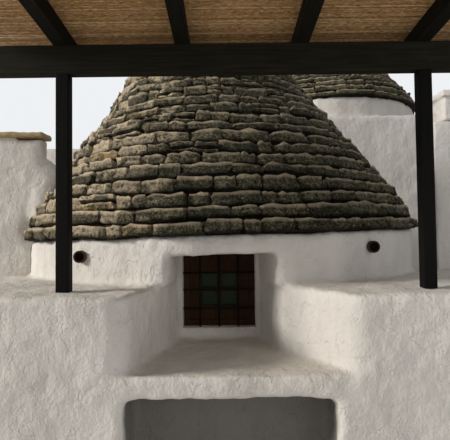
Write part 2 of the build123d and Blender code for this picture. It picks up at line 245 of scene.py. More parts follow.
class Finish(Plan):
    """A procedural material."""

    def __init__(self, name, metallic=0.0, gloss=0.5):
        self.material = bpy.data.materials.new(name)
        self.material.use_nodes = True
        super().__init__(self.material.node_tree)
        self.shader = self.tree.nodes["Principled BSDF"]
        self.shader.inputs["Metallic"].default_value = metallic
        self.shader.inputs["Specular IOR Level"].default_value = gloss

    def place(self, scale=(1, 1, 1), offset=(0, 0, 0)):
        """The object's own coordinates, stretched."""
        coords = self.add("ShaderNodeTexCoord", output="Object")
        return self.add("ShaderNodeMapping", inputs={
            "Vector": coords, "Scale": scale, "Location": offset})

    def along(self, axis):
        """The object's own X, Y or Z."""
        coords = self.add("ShaderNodeTexCoord", output="Object")
        return self.add("ShaderNodeSeparateXYZ", inputs={"Vector": coords}, output=axis)

    def attribute(self, name):
        return self.add("ShaderNodeAttribute", {"attribute_name": name}, output="Fac")

    def cloud(self, scale, detail=3.0, roughness=0.55, stretch=(1, 1, 1), offset=(0, 0, 0)):
        return self.add("ShaderNodeTexNoise", inputs={
            "Vector": self.place(stretch, offset), "Scale": scale, "Detail": detail,
            "Roughness": roughness}, output="Fac")

    def cells(self, scale):
        return self.add("ShaderNodeTexVoronoi", inputs={
            "Vector": self.place(), "Scale": scale}, output="Distance")

    def ramp(self, wire, *stops):
        return self.add("ShaderNodeValToRGB", {"stops": stops}, {"Fac": wire}, "Color")

    def step(self, wire, low, high):
        """0 under low, 1 over high and a ramp between."""
        return self.add("ShaderNodeMapRange", inputs={
            "Value": wire, "From Min": low, "From Max": high}, output="Result")

    def mix(self, factor, first, second):
        return self.add("ShaderNodeMix", {"data_type": "RGBA"}, {
            "Factor_Float": factor, "A_Color": first, "B_Color": second}, "Result_Color")

    def layer(self, body, pattern, low, high, colour, amount=1.0):
        """Lays a colour over the body, thicker as the pattern runs from low to high."""
        return self.mix(self.step(pattern, low, high) * amount, body, colour)

    def bump(self, height, depth, strength):
        return self.add("ShaderNodeBump", inputs={
            "Height": height, "Distance": depth, "Strength": strength}, output="Normal")

    def finish(self, colour, roughness, normal=None):
        self.feed(self.shader.inputs["Base Color"], colour)
        self.feed(self.shader.inputs["Roughness"], roughness)
        if normal is not None:
            self.feed(self.shader.inputs["Normal"], normal)
        return self.material


class Recipe(Plan):
    """A Geometry Nodes group with named inputs."""

    def __init__(self, name):
        super().__init__(bpy.data.node_groups.new(name, "GeometryNodeTree"))
        for way in ("INPUT", "OUTPUT"):
            self.tree.interface.new_socket("Geometry", in_out=way, socket_type="NodeSocketGeometry")
        self.source = self.tree.nodes.new("NodeGroupInput")
        self.sink = self.tree.nodes.new("NodeGroupOutput")

    def given(self, key):
        """What the group is given at one of its inputs."""
        return Wire(self, socket_at(self.source.outputs, key))

    def value(self, name, kind, default):
        """Adds a named input."""
        item = self.tree.interface.new_socket(name, in_out="INPUT", socket_type=kind)
        item.default_value = default
        return self.given(item.identifier)

    def attribute(self, name, kind):
        return self.add("GeometryNodeInputNamedAttribute", {"data_type": kind}, {"Name": name},
                        "Attribute")

    def close(self, geometry, material):
        whole_mesh = self.add("GeometryNodeRealizeInstances", inputs={"Geometry": geometry})
        coated = self.add("GeometryNodeSetMaterial", inputs={
            "Geometry": whole_mesh, "Material": material})
        self.feed(self.sink.inputs[0], coated)

    def apply(self, piece, values):
        """Runs the recipe on a piece, with values given by the inputs' names."""
        modifier = piece.modifiers.new(self.tree.name, "NODES")
        modifier.node_group = self.tree
        for item in self.tree.interface.items_tree:
            if item.item_type == "SOCKET" and item.in_out == "INPUT" and item.name in values:
                modifier[item.identifier] = values[item.name]
        return applied(piece)


# Finishes

# Colours of weather and wear, and of painted shade and sheen
RAIN_GREY = (0.63, 0.595, 0.55)
RAIN_STREAK = (0.47, 0.44, 0.40)
DIRT_SPECK = (0.44, 0.40, 0.34)
DUST = (0.57, 0.51, 0.42)
# Painted shade inside the niche under the recess floor
NICHE_SHADE = (0.070, 0.064, 0.052)
OCHRE = (0.58, 0.36, 0.15)
# Moss, laid thicker towards the cone's right side as painted shade
MOSS_AND_SHADE = (0.029, 0.041, 0.016)
DAMP = (0.030, 0.032, 0.018)
LICHEN = (0.62, 0.56, 0.40)
# Painted shade in the hollows and pits of the stones' bump
HOLLOW_SHADE = (0.016, 0.014, 0.009)
GRAIN_HOLLOW_SHADE = (0.020, 0.018, 0.011)
PIT_SHADE = (0.008, 0.007, 0.005)
# Painted shade on the lower part of each stone
UNDERSIDE_SHADE = (0.012, 0.010, 0.007)
PALE_CANE = (0.58, 0.38, 0.20)
CANE_SHINE = (0.68, 0.50, 0.35)

# Plain and worn colours of the smaller pieces, and painted shade for the spout bores
CARVED_STONE = ((0.52, 0.49, 0.43), (0.33, 0.31, 0.26))
OCHRE_STONE = ((0.36, 0.25, 0.11), (0.44, 0.36, 0.24))
FLOOR_STONE = ((0.48, 0.44, 0.37), (0.36, 0.32, 0.26))
WINDOW_WOOD = ((0.030, 0.013, 0.004), (0.052, 0.023, 0.009))
DOOR_WOOD = ((0.060, 0.028, 0.016), (0.11, 0.055, 0.030))
IRON = ((0.003, 0.003, 0.002), (0.020, 0.010, 0.005))
CLAY = ((0.060, 0.030, 0.016), (0.016, 0.011, 0.008))
GLASS = ((0.004, 0.015, 0.001), (0.006, 0.024, 0.003))
# Painted shade deep in the spout bores
SPOUT_BORE_SHADE = (0.010, 0.007, 0.005)

# The niche under the recess floor, whose limewash is darkened with painted shade, from corner to
# corner, and its soft edge
NICHE = ((-0.72, -2.65, -0.20), (0.84, -2.20, 0.78))
NICHE_EDGE = 0.08


def shade(colour, factor):
    return tuple(c * factor for c in colour)


def niche_mask(f):
    """1 within the niche and 0 outside it."""
    mask = 1.0
    for axis, low, high in zip("XYZ", *NICHE):
        along = f.along(axis)
        mask = f.step(along, low, low + NICHE_EDGE) * f.step(along, high, high - NICHE_EDGE) * mask
    return mask


def limewash_finish():
    """White limewash on lumpy plaster, greyed by rain, yellowed where dust lies and darkened with
    painted shade inside the niche.
    """
    f = Finish("limewash", gloss=0.2)
    body = tuple(bpy.context.scene.trullo_colours.limewash)
    streak = f.cloud(3.0, 5.0, 0.65, stretch=(1.0, 1.0, 0.25))
    body = f.layer(body, f.cloud(0.9, 4.0, 0.6), 0.40, 0.70, RAIN_GREY)
    body = f.layer(body, streak, 0.50, 0.78, RAIN_STREAK, 0.5)
    body = f.layer(body, f.cloud(28.0, 3.0, 0.7), 0.60, 0.78, DIRT_SPECK, 0.4)
    facing = f.add("ShaderNodeNewGeometry", output="Normal")
    upward = f.add("ShaderNodeSeparateXYZ", inputs={"Vector": facing}, output="Z")
    dust = f.step(upward, 0.55, 0.95) * f.step(f.cloud(2.2, 4.0, 0.65), 0.30, 0.65)
    body = f.mix(dust * 0.55, body, DUST)
    # Painted shade: the niche under the recess floor is darkened
    body = f.mix(niche_mask(f) * 0.8, body, NICHE_SHADE)
    brush = f.cloud(11.0, 4.0, 0.6, stretch=(1.0, 1.0, 0.55))
    flakes = f.step(f.cloud(7.0, 5.0, 0.6, offset=(5, 3, 8)), 0.56, 0.60)
    sand = f.cloud(55.0, 3.0, 0.6)
    height = f.cloud(4.0, 5.0, 0.6) * 1.4 + brush * 0.6 + sand * 0.25 - flakes * 0.2
    return f.finish(body, 0.88, f.bump(height, 0.022, 0.8))


def limestone_finish():
    """Olive grey limestone, pitted and with a few ochre stones: moss and painted shade darken the
    cone's right side, painted shade lies in the stones' hollows, pits and undersides, and a painted
    highlight on their tops.
    """
    f = Finish("limestone", gloss=0.15)
    grey = tuple(bpy.context.scene.trullo_colours.limestone)
    tint = f.attribute("tint")
    body = f.ramp(tint, (0.0, shade(grey, 0.22)), (0.35, shade(grey, 0.66)),
                  (0.70, shade(grey, 1.2)), (0.92, shade(grey, 1.7)), (0.97, OCHRE))
    body = f.layer(body, f.cloud(6.0, 6.0, 0.7), 0.47, 0.62, shade(grey, 1.65), 0.6)
    # Painted shade: the moss mask grows towards +X, so the cone's right side turns darker
    painted_shade_side = f.step(f.along("X"), -1.1, 0.7)
    moss_and_shade_growth = f.cloud(4.0, 6.0, 0.7, offset=(3, 1, 2)) + painted_shade_side * 0.40 + tint * 0.10
    moss_and_shade = f.step(moss_and_shade_growth, 0.59, 0.69)
    body = f.mix(moss_and_shade * 0.92, body, MOSS_AND_SHADE)
    rough = f.cloud(20.0, 8.0, 0.8)
    body = f.layer(body, rough, 0.52, 0.62, shade(grey, 1.3), 0.65 - moss_and_shade * 0.3)
    # Painted shade: near black where the rough noise sinks the bump
    body = f.layer(body, rough, 0.46, 0.40, HOLLOW_SHADE, 0.85)
    grain = f.cloud(62.0, 6.0, 0.8, offset=(6, 4, 2))
    body = f.layer(body, grain, 0.51, 0.60, shade(grey, 1.35), 0.5 - moss_and_shade * 0.2)
    # Painted shade: near black where the fine noise sinks the bump
    body = f.layer(body, grain, 0.47, 0.39, GRAIN_HOLLOW_SHADE, 0.7)
    body = f.layer(body, tint, 0.44, 0.10, DAMP, 0.58)
    body = f.layer(body, f.cloud(36.0, 5.0, 0.75, offset=(9, 8, 1)), 0.58, 0.66, LICHEN, 0.70)
    pitted = f.cloud(11.0, 5.0, 0.7, offset=(7, 2, 5))
    pits = f.step(f.cells(26.0), 0.40, 0.16) * f.step(pitted, 0.54, 0.40)
    # Painted shade in the pits, which the bump sinks too
    body = f.mix(pits * 0.9, body, PIT_SHADE)
    # Painted highlight on the top of each stone and painted shade under it, from the height on the
    # stone
    rise = f.attribute("rise") + rough * 0.8 - 0.4
    body = f.layer(body, rise, 0.30, 0.80, shade(grey, 1.8), 0.80 - moss_and_shade * 0.35)
    body = f.layer(body, rise, -0.45, -0.95, UNDERSIDE_SHADE, 0.85)
    height = f.cloud(9.0, 8.0, 0.72) * 1.3 + rough * 0.9 + grain * 0.35 - pits * 0.5
    return f.finish(body, 0.95, f.bump(height, 0.08, 1.0))


def plain_stone_finish(name, colour, worn):
    f = Finish(name)
    body = f.layer(colour, f.cloud(4.0, 5.0, 0.65), 0.40, 0.70, worn)
    body = f.layer(body, f.cloud(40.0, 3.0, 0.7), 0.60, 0.75, shade(worn, 0.5), 0.4)
    return f.finish(body, 0.88, f.bump(f.cloud(25.0, 5.0, 0.65), 0.008, 0.6))


def wood_finish(name, colour, worn, along, roughness=0.7):
    """Grain that runs along one axis of the object."""
    f = Finish(name, gloss=0.12)
    stretch = tuple(0.06 if axis == along else 1.0 for axis in "XYZ")
    grain = f.cloud(60.0, 4.0, 0.6, stretch=stretch)
    broad = f.cloud(9.0, 3.0, 0.55, stretch=stretch)
    body = f.layer(colour, grain, 0.38, 0.68, worn)
    body = f.layer(body, broad, 0.50, 0.75, shade(colour, 0.55), 0.6)
    return f.finish(body, roughness, f.bump(grain + broad * 0.6, 0.002, 0.7))


def cane_finish():
    """Dry reeds: golden and brown by turns, with dark and pale flecks."""
    f = Finish("cane", gloss=0.25)
    gold = tuple(bpy.context.scene.trullo_colours.cane)
    body = f.ramp(f.attribute("tint"), (0.0, shade(gold, 0.80)), (0.45, gold),
                  (0.85, shade(gold, 1.15)), (1.0, PALE_CANE))
    flecks = f.cloud(16.0, 5.0, 0.7, stretch=(1.8, 7, 7))
    body = f.layer(body, flecks, 0.51, 0.60, shade(gold, 0.34), 0.75)
    body = f.layer(body, flecks, 0.46, 0.38, CANE_SHINE, 0.75)
    body = f.layer(body, f.cloud(1.3, 3.0, 0.5), 0.50, 0.70, shade(gold, 0.5), 0.35)
    height = f.cloud(160.0, 2.0, 0.5, stretch=(0.05, 1, 1))
    return f.finish(body, 0.6, f.bump(height, 0.0008, 0.6))


def iron_finish():
    f = Finish("wrought_iron", metallic=0.2, gloss=0.2)
    body = f.layer(IRON[0], f.cloud(45.0, 4.0, 0.65), 0.50, 0.70, IRON[1], 0.4)
    return f.finish(body, 0.65, f.bump(f.cloud(120.0, 3.0, 0.6), 0.001, 0.6))


def clay_finish():
    f = Finish("fired_clay", gloss=0.2)
    body = f.layer(CLAY[0], f.cloud(18.0, 4.0, 0.6), 0.42, 0.70, CLAY[1])
    return f.finish(body, 0.8, f.bump(f.cloud(70.0, 3.0, 0.6), 0.002, 0.6))


def glass_finish():
    """Old panes that look near-black green because the room behind is dark."""
    f = Finish("window_glass", gloss=0.12)
    body = f.layer(GLASS[0], f.cloud(14.0, 3.0, 0.6), 0.35, 0.75, GLASS[1])
    return f.finish(body, 0.25, f.bump(f.cloud(9.0, 2.0, 0.5), 0.002, 0.3))


# Mesh helpers

def coat(piece, material):
    """Gives all of a piece one material."""
    piece.data.materials.clear()
    piece.data.materials.append(material)


def new_piece(name, mesh, material=None):
    piece = bpy.data.objects.new(name, mesh)
    bpy.context.scene.collection.objects.link(piece)
    if material is not None:
        coat(piece, material)
    return piece


def settle(piece, slot, *nodes):
    """The piece rides on the house and stands for its nodes, which it hides; slot is not used."""
    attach(piece, BODY)
    if nodes:
        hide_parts(*nodes)


def applied(piece):
    """The piece with its modifiers turned into plain mesh."""
    graph = bpy.context.evaluated_depsgraph_get()
    mesh = bpy.data.meshes.new_from_object(piece.evaluated_get(graph))
    piece.modifiers.clear()
    old = piece.data
    piece.data = mesh
    bpy.data.meshes.remove(old)
    return piece


def poured(bm, mesh):
    """Writes a bmesh into a mesh and lets the bmesh go."""
    bm.to_mesh(mesh)
    bm.free()
    return mesh


def cast(bm, name):
    """A new mesh from a bmesh."""
    return poured(bm, bpy.data.meshes.new(name))


def add_block(bm, low, high):
    """Adds a box between two corners."""
    matrix = Matrix.Translation((low + high) / 2) @ Matrix.Diagonal((*(high - low), 1.0))
    bmesh.ops.create_cube(bm, size=1.0, matrix=matrix)


def add_bar(bm, start, end, radius, sides=8):
    """Adds a round bar between two points."""
    axis = end - start
    turn = axis.to_track_quat("Z", "Y").to_matrix().to_4x4()
    bmesh.ops.create_cone(bm, cap_ends=True, segments=sides, radius1=radius, radius2=radius,
                          depth=axis.length, matrix=Matrix.Translation((start + end) / 2) @ turn)


def circle(radius, sides):
    return [(radius * math.cos(math.tau * i / sides), radius * math.sin(math.tau * i / sides))
            for i in range(sides)]


def lofted(name, rings):
    """A closed skin through rings of like number; a ring of one place is a pole."""
    bm = bmesh.new()
    rows = [[bm.verts.new(place) for place in ring] for ring in rings]
    for lower, upper in zip(rows, rows[1:]):
        for i in range(max(len(lower), len(upper))):
            ring = [lower[i % len(lower)], lower[(i + 1) % len(lower)],
                    upper[(i + 1) % len(upper)], upper[i % len(upper)]]
            bm.faces.new(list(dict.fromkeys(ring)))
    for end in (rows[0][::-1], rows[-1]):
        if len(end) > 1:
            bm.faces.new(end)
    bmesh.ops.recalc_face_normals(bm, faces=bm.faces)
    mesh = cast(bm, name)
    smooth_shaded(mesh)
    return mesh


def node_copy(names):
    """One mesh with the merged copies of some nodes."""
    bm = bmesh.new()
    for name in names:
        part = bmesh.new()
        part.from_mesh(NODES[name].data)
        bmesh.ops.remove_doubles(part, verts=part.verts, dist=1e-5)
        mesh = cast(part, "part")
        bm.from_mesh(mesh)
        bpy.data.meshes.remove(mesh)
    return cast(bm, "copy")


def join_in(mesh, other):
    bm = bmesh.new()
    bm.from_mesh(mesh)
    bm.from_mesh(other)
    poured(bm, mesh)


def read_out(items, key, width=3, kind=np.float64):
    """One row of numbers for each of a mesh's items."""
    values = np.empty(len(items) * width, dtype=kind)
    items.foreach_get(key, values)
    return values.reshape(-1, width)


def coordinates(mesh):
    return read_out(mesh.vertices, "co")


def set_coordinates(mesh, places):
    mesh.vertices.foreach_set("co", places.ravel())
    mesh.update()


def vertex_normals(mesh):
    return read_out(mesh.vertex_normals, "vector")


def push_out(mesh, push):
    """Moves each corner of a mesh outwards by its own share of a push."""
    set_coordinates(mesh, coordinates(mesh) + vertex_normals(mesh) * push[:, None])


def unevenness(places, waves, shift=(0.0, 0.0, 0.0)):
    """Smooth noise from -1 to 1 at each place, with so many waves to the metre."""
    offset = Vector(shift)
    return np.array([noise.noise(Vector(p) * waves + offset) for p in places])


def smooth_shaded(mesh):
    mesh.polygons.foreach_set("use_smooth", [True] * len(mesh.polygons))
    mesh.update()


def neighbour_pull(mesh):
    """From each corner of a mesh to the middle of its neighbours."""
    places = coordinates(mesh)
    edges = read_out(mesh.edges, "vertices", 2, np.int64)
    total = np.zeros_like(places)
    count = np.zeros(len(places))
    for one, two in ((0, 1), (1, 0)):
        np.add.at(total, edges[:, one], places[edges[:, two]])
        np.add.at(count, edges[:, one], 1)
    return total / np.maximum(count, 1)[:, None] - places


def worn_edges(piece, width):
    """Wears the long edges of a crisp piece round."""
    bevel = piece.modifiers.new("worn edges", "BEVEL")
    bevel.width = width
    bevel.segments = 2
    bevel.limit_method = "ANGLE"
    return applied(piece)


def softened(name, node, material, width):
    """A copy of a crisp node with its long edges worn round."""
    piece = new_piece(name, node_copy([node]), material)
    bm = bmesh.new()
    bm.from_mesh(piece.data)
    bmesh.ops.dissolve_limit(bm, angle_limit=0.01, verts=bm.verts, edges=bm.edges)
    poured(bm, piece.data)
    return worn_edges(piece, width)


# Masonry

# Waves to the metre of the plaster's swellings, lumps and trowel marks
SWELL_WAVES, LUMP_WAVES, TROWEL_WAVES = 2.2, 5.5, 17.0
# Up to this height the foot of a wall stays true
TRUE_FOOT = 0.02
# Chips: waves to the metre of the broad and the fine ones, and the pull of a sharp edge
CHIP_WAVES, FINE_CHIP_WAVES, SHARP_PULL = 9.0, 30.0, 0.008
# How far round the window the plaster grows lumpy, and its least share beside the frame
WINDOW_CALM, LEAST_SHARE = 0.15, 0.08
# The window cutter: clearance round the frame, reach before the grille and behind the frame
CUT_CLEARANCE, CUT_BEFORE, CUT_BEHIND = 0.0015, 0.15, 0.35
# Plaster haunch on the left yard wall: half sizes, place past its end and under its top
HAUNCH_RADII, HAUNCH_OUT, HAUNCH_DROP = (0.20, 0.12, 0.46), 0.02, 0.60
# Plaster bed of the coping, under and over the wall's top
BED_UNDER, BED_OVER = 0.09, 0.05
# The eave tilts over this half width; the wall head follows it between two radii and from a
# height up, over a rise
EAVE_REACH = 2.1
HEAD_INNER, HEAD_OUTER = 1.5, 2.3
HEAD_FROM, HEAD_RISE = 1.45, 0.22


def fused(name, mesh, grain, rounding, hold=None):
    """One skin round all the closed forms in a mesh, with soft corners except where held."""
    piece = new_piece(name, mesh)
    remesh = piece.modifiers.new("skin", "REMESH")
    remesh.mode = "VOXEL"
    remesh.voxel_size = grain
    applied(piece)
    for _ in range(rounding):
        places = coordinates(piece.data)
        pull = 0.5 * neighbour_pull(piece.data)
        if hold is not None:
            pull *= hold(places)[:, None]
        set_coordinates(piece.data, places + pull)
    return piece


def lumpy(mesh, swell, ripple, hold=None):
    """Pushes a skin in and out as hand-laid plaster is; hold keeps some places still."""
    places = coordinates(mesh)
    push = swell * unevenness(places, SWELL_WAVES)
    push += 0.5 * swell * unevenness(places, LUMP_WAVES, (4, 2, 9))
    push += ripple * unevenness(places, TROWEL_WAVES, (1, 8, 3))
    if hold is not None:
        push *= hold(places)
    push[places[:, 2] < TRUE_FOOT] = 0.0
    push_out(mesh, push)
    smooth_shaded(mesh)


def chipped(mesh, depth):
    """Knocks small pieces out of the sharp edges of a skin."""
    places = coordinates(mesh)
    inward = neighbour_pull(mesh)
    sharp = np.clip(np.linalg.norm(inward, axis=1) / SHARP_PULL, 0.0, 1.0)
    convex = (inward * vertex_normals(mesh)).sum(axis=1) < 0
    chance = unevenness(places, CHIP_WAVES, (3, 3, 7)) + 0.5 * unevenness(places, FINE_CHIP_WAVES)
    push_out(mesh, -depth * sharp * convex * np.clip(chance, 0, 1))


def window_hold(places):
    """Near 0 at the window opening and 1 away from it, so the frame keeps its seat."""
    low, high = (np.array(corner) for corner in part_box("window_frame"))
    reach = np.abs(places - (low + high) / 2) - (high - low) / 2
    away = np.sqrt((np.maximum(reach, 0.0) ** 2).sum(axis=1))
    return np.clip(away / WINDOW_CALM, LEAST_SHARE, 1.0)


def wall_plaster():
    """Plaster on the left yard wall: a haunch at the foot of the cone and the coping's bed."""
    low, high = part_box("yard_wall_left")
    bm = bmesh.new()
    centre = Vector((high.x + HAUNCH_OUT, (low.y + high.y) / 2, high.z - HAUNCH_DROP))
    bmesh.ops.create_icosphere(bm, subdivisions=4, radius=1.0, matrix=Matrix.Translation(
        centre) @ Matrix.Diagonal((*HAUNCH_RADII, 1.0)))
    add_block(bm, Vector((low.x, low.y, high.z - BED_UNDER)),
              Vector((high.x, high.y, high.z + BED_OVER)))
    return cast(bm, "wall_plaster")


def open_window(piece):
    """Cuts the window opening through the skin again, with square corners."""
    low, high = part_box("window_frame")
    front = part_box("window_grille")[0].y - CUT_BEFORE
    bm = bmesh.new()
    add_block(bm, Vector((low.x - CUT_CLEARANCE, front, low.z - CUT_CLEARANCE)),
              Vector((high.x + CUT_CLEARANCE, high.y + CUT_BEHIND, high.z + CUT_CLEARANCE)))
    cutter = new_piece("window_cutter", cast(bm, "window_cutter"))
    cut = piece.modifiers.new("window", "BOOLEAN")
    cut.operation = "DIFFERENCE"
    cut.solver = "FAST"
    cut.object = cutter
    applied(piece)
    bpy.data.objects.remove(cutter)


def eave_rise(places, sizes):
    """How far the eave stands over its middle height at each place."""
    return sizes.eave_tilt * np.clip(places[:, 0] / EAVE_REACH, -1, 1)


def tilt_wall_head(mesh, sizes):
    """Lifts the wall head on the right and drops it on the left, as the eave runs."""
    places = coordinates(mesh)
    radius = np.hypot(places[:, 0], places[:, 1])
    share = np.clip((places[:, 2] - HEAD_FROM) / HEAD_RISE, 0.0, 1.0)
    share *= (radius > HEAD_INNER) & (radius < HEAD_OUTER)
    places[:, 2] += eave_rise(places, sizes) * share
    set_coordinates(mesh, places)


class TRULLO_OT_masonry(bpy.types.Operator):
    """Lays lumpy limewash over the round wall, benches, recess, yard walls and rear block"""
    bl_idname = "trullo.masonry"
    bl_label = "Limewashed masonry"

    def execute(self, context):
        sizes = context.scene.trullo_masonry
        limewash = limewash_finish()
        groups = (
            ("front_masonry", FRONT_WALLS, sizes.front_grain, window_hold),
            ("side_masonry", SIDE_WALLS, sizes.side_grain, None),
            ("rear_masonry", REAR_WALLS, sizes.rear_grain, None),
            ("chimney_masonry", CHIMNEY, sizes.chimney_grain, None),
        )
        for name, nodes, grain, hold in groups:
            mesh = node_copy(nodes)
            if nodes is SIDE_WALLS:
                join_in(mesh, wall_plaster())
            piece = fused(name, mesh, grain, sizes.rounding, hold)
            chipped(piece.data, sizes.chipping)
            lumpy(piece.data, sizes.swell, sizes.ripple, hold)
            if nodes is FRONT_WALLS:
                open_window(piece)
            if nodes in (FRONT_WALLS, SIDE_WALLS):
                tilt_wall_head(piece.data, sizes)
            coat(piece, limewash)
            settle(piece, "plaster", *nodes)
        return {"FINISHED"}


# Stone roofs

STONE_KINDS = 12
# How far a stone swells across, towards its face and in height
SWELL_ACROSS, SWELL_OUT, SWELL_UP = 0.5, 1.1, 0.9
# By chance: place in the noise, slant of the ends and squareness (2 is a ball)
NOISE_REACH, TAPER, SQUARENESS = 40, 0.10, (8.0, 16.0)
# How much a stone's corners may be knocked off, and waves and depth of its two sorts of dents
KNOCKS = (0.0, 0.05, 0.12, 0.22)
DENTS = ((0.9, 0.12), (2.6, 0.14))
# Waves of a bed's line round the cone, and the shift of the noise from bed to bed
BED_WAVES, BED_SHIFT = 2.1, 1.7
# A stone's length as a share of the usual one, and at most as a share of the course's radius
LENGTH_SHARES, LONGEST = (0.45, 0.6, 0.75, 0.9, 1.0, 1.15, 1.4), 1.1
# How far a stone stands out by chance, turns and rocks, and where a split one is cut
STAND_OUT, TURN, ROCK, SPLIT_AT = (-0.026, 0.010), 0.07, 0.03, (0.38, 0.62)
# Share of the cone's slope that a stone's face takes, and how fast its set-back grows
FACE_LEAN, SET_BACK_RISE = 0.55, 2.4
# The smallest course, and the deepest stone as a share of its radius
LEAST_RADIUS, DEEPEST = 0.06, 1.5
# The core lies this far behind the cone's line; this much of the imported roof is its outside
CORE_INSET, OUTER_BAND = 0.13, 0.12
# Waves and depth of the broad and the fine relief that run over the stones
RELIEF = ((8.0, 0.011, (2, 6, 1)), (19.0, 0.016, (0, 0, 0)))
# The main cone's lean at shares of its height
LEAN_HEIGHTS = (0.0, 0.10, 0.25, 0.42, 0.60, 0.75, 0.98)
LEAN_SHARES = (0.1, 0.25, 0.35, 0.5, 1.0, 1.0, 0.0)
SHARP_ANGLE = math.radians(27)


def stone_block():
    """A unit box cut fine on its face (-Y), coarser on its sides and left plain at its back."""
    bm = bmesh.new()
    bmesh.ops.create_cube(bm, size=1.0)
    for axis, cuts in ((0, 4), (2, 3), (1, 1)):
        along = [edge for edge in bm.edges
                 if abs(edge.verts[0].co[axis] - edge.verts[1].co[axis]) > 0.5]
        bmesh.ops.subdivide_edges(bm, edges=along, cuts=cuts, use_grid_fill=True)
    for vert in bm.verts:
        vert.co.x *= 1.0 + SWELL_ACROSS * (0.25 - vert.co.x ** 2)
        vert.co.z *= 1.0 + SWELL_UP * (0.25 - vert.co.z ** 2)
        vert.co.y -= SWELL_OUT * (0.25 - vert.co.y ** 2)
    back = [face for face in bm.faces if all(vert.co.y > 0.49 for vert in face.verts)]
    bmesh.ops.dissolve_faces(bm, faces=back)
    return bm


def stone_form(seed):
    """One rough stone in a unit box, with knocked corners, dents and worn edges, keeping its height
    for a painted highlight on its top and painted shade underneath.
    """
    rng = random.Random(seed)
    bm = stone_block()
    rise = bm.verts.layers.float.new("rise")
    shift = Vector([rng.uniform(0, NOISE_REACH) for _ in range(3)])
    taper, skew = rng.uniform(-TAPER, TAPER), rng.uniform(-TAPER, TAPER)
    power = rng.uniform(*SQUARENESS)
    knocks = {(x, z): rng.choice(KNOCKS) for x in (False, True) for z in (False, True)}
    for vert in bm.verts:
        p = vert.co * 2.0
        widest = max(abs(c) for c in p)
        p = p * widest / sum(abs(c) ** power for c in p) ** (1 / power)
        knock = knocks[p.x > 0, p.z > 0] * (abs(p.x) * abs(p.z)) ** 2
        dent = sum(depth * noise.noise(p * waves + shift) for waves, depth in DENTS)
        # Height on the stone, used for the painted highlight on top and the painted shade
        # underneath
        vert[rise] = p.z
        vert.co = p * 0.5 * (1.0 + dent)
        vert.co.x *= 1.0 - 0.6 * knock
        vert.co.z *= 1.0 - knock
        vert.co.x += vert.co.z * (taper * p.x + skew)
    mesh = cast(bm, f"stone_{seed}")
    smooth_shaded(mesh)
    return mesh


def roof_profile(node, centre):
    """Outer radius of a packed roof at a height: its widest corner at or over that height."""
    places = coordinates(NODES[node].data)
    places = places[np.argsort(places[:, 2])]
    reach = np.hypot(places[:, 0] - centre[0], places[:, 1] - centre[1])
    widest = np.maximum.accumulate(reach[::-1])[::-1]
    levels = places[:, 2]
    return lambda height: float(
        widest[min(np.searchsorted(levels, height - 1e-4), len(levels) - 1)])


def course_line(i, angle, wander):
    """How far the bed under course i runs out of level at an angle round the cone."""
    if i == 0:
        return 0.0
    return wander * noise.noise(Vector((
        BED_WAVES * math.cos(angle), BED_WAVES * math.sin(angle), BED_SHIFT * i)))


def course_spans(radius, sizes, rng):
    """Start and end angles of the stones in one course."""
    lengths = []
    while sum(lengths) < math.tau * radius:
        lengths.append(min(sizes.length * rng.choice(LENGTH_SHARES), radius * LONGEST))
    fit = math.tau / sum(lengths)
    angle = rng.uniform(0, math.tau)
    for length in lengths:
        yield angle, angle + length * fit
        angle += length * fit


def lay_courses(node, centre, sizes):
    """Place, turn, size, tint and form of each stone, course on course up the cone."""
    rng = random.Random(sizes.seed + len(node))
    low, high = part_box(node)
    radius_at = roof_profile(node, centre)
    count = round((high.z - low.z) / sizes.course)
    shares = [rng.uniform(1.0 - sizes.uneven, 1.0 + sizes.uneven) for _ in range(count)]
    rows = []
    foot = low.z
    for i, share in enumerate(shares):
        step = (high.z - low.z) * share / sum(shares)
        set_back = sizes.set_back * min(1.0, SET_BACK_RISE * (foot - low.z))
        radius = max(radius_at(foot + step / 2) - set_back, LEAST_RADIUS)
        slope = (radius_at(foot - step / 2) - radius_at(foot + 3 * step / 2)) / (2 * step)
        lean = FACE_LEAN * math.atan(slope)
        depth = min(sizes.depth, radius * DEEPEST)
        for start, end in course_spans(radius, sizes, rng):
            middle = (start + end) / 2
            length = (end - start) * radius
            beds = [(course_line(k, start, sizes.wander), course_line(k, end, sizes.wander))
                    for k in (i, i + 1)]
            bed, top = sum(beds[0]) / 2, step + sum(beds[1]) / 2
            rise = (beds[0][1] - beds[0][0] + beds[1][1] - beds[1][0]) / 2
            layers = [(bed, top)]
            if rng.random() < sizes.split:
                between = bed + (top - bed) * rng.uniform(*SPLIT_AT)
                layers = [(bed, between), (between, top)]
            for lower, upper in layers:
                out = radius - depth / 2 + rng.uniform(*STAND_OUT)
                rows.append({
                    "place": (centre[0] + out * math.cos(middle),
                              centre[1] + out * math.sin(middle), foot + (lower + upper) / 2),
                    "turn": (-lean + rng.uniform(-TURN, TURN),
                             -math.atan(rise / length) + rng.uniform(-ROCK, ROCK),
                             middle + math.pi / 2 + rng.uniform(-TURN, TURN)),
                    "size": (length * sizes.overlap, depth, upper - lower - sizes.joint),
                    "tint": rng.random(),
                    "kind": rng.randrange(STONE_KINDS),
                })
        foot += step
    return rows


def point_cloud(name, rows):
    """A mesh of loose points that carries each copy's turn, size, tint and kind."""
    mesh = bpy.data.meshes.new(name)
    mesh.from_pydata([row["place"] for row in rows], [], [])
    for key, kind in (("turn", "FLOAT_VECTOR"), ("size", "FLOAT_VECTOR"),
                      ("tint", "FLOAT"), ("kind", "INT")):
        values = mesh.attributes.new(key, kind, "POINT").data
        values.foreach_set("vector" if kind == "FLOAT_VECTOR" else "value",
                           np.ravel([row[key] for row in rows]).tolist())
    return mesh


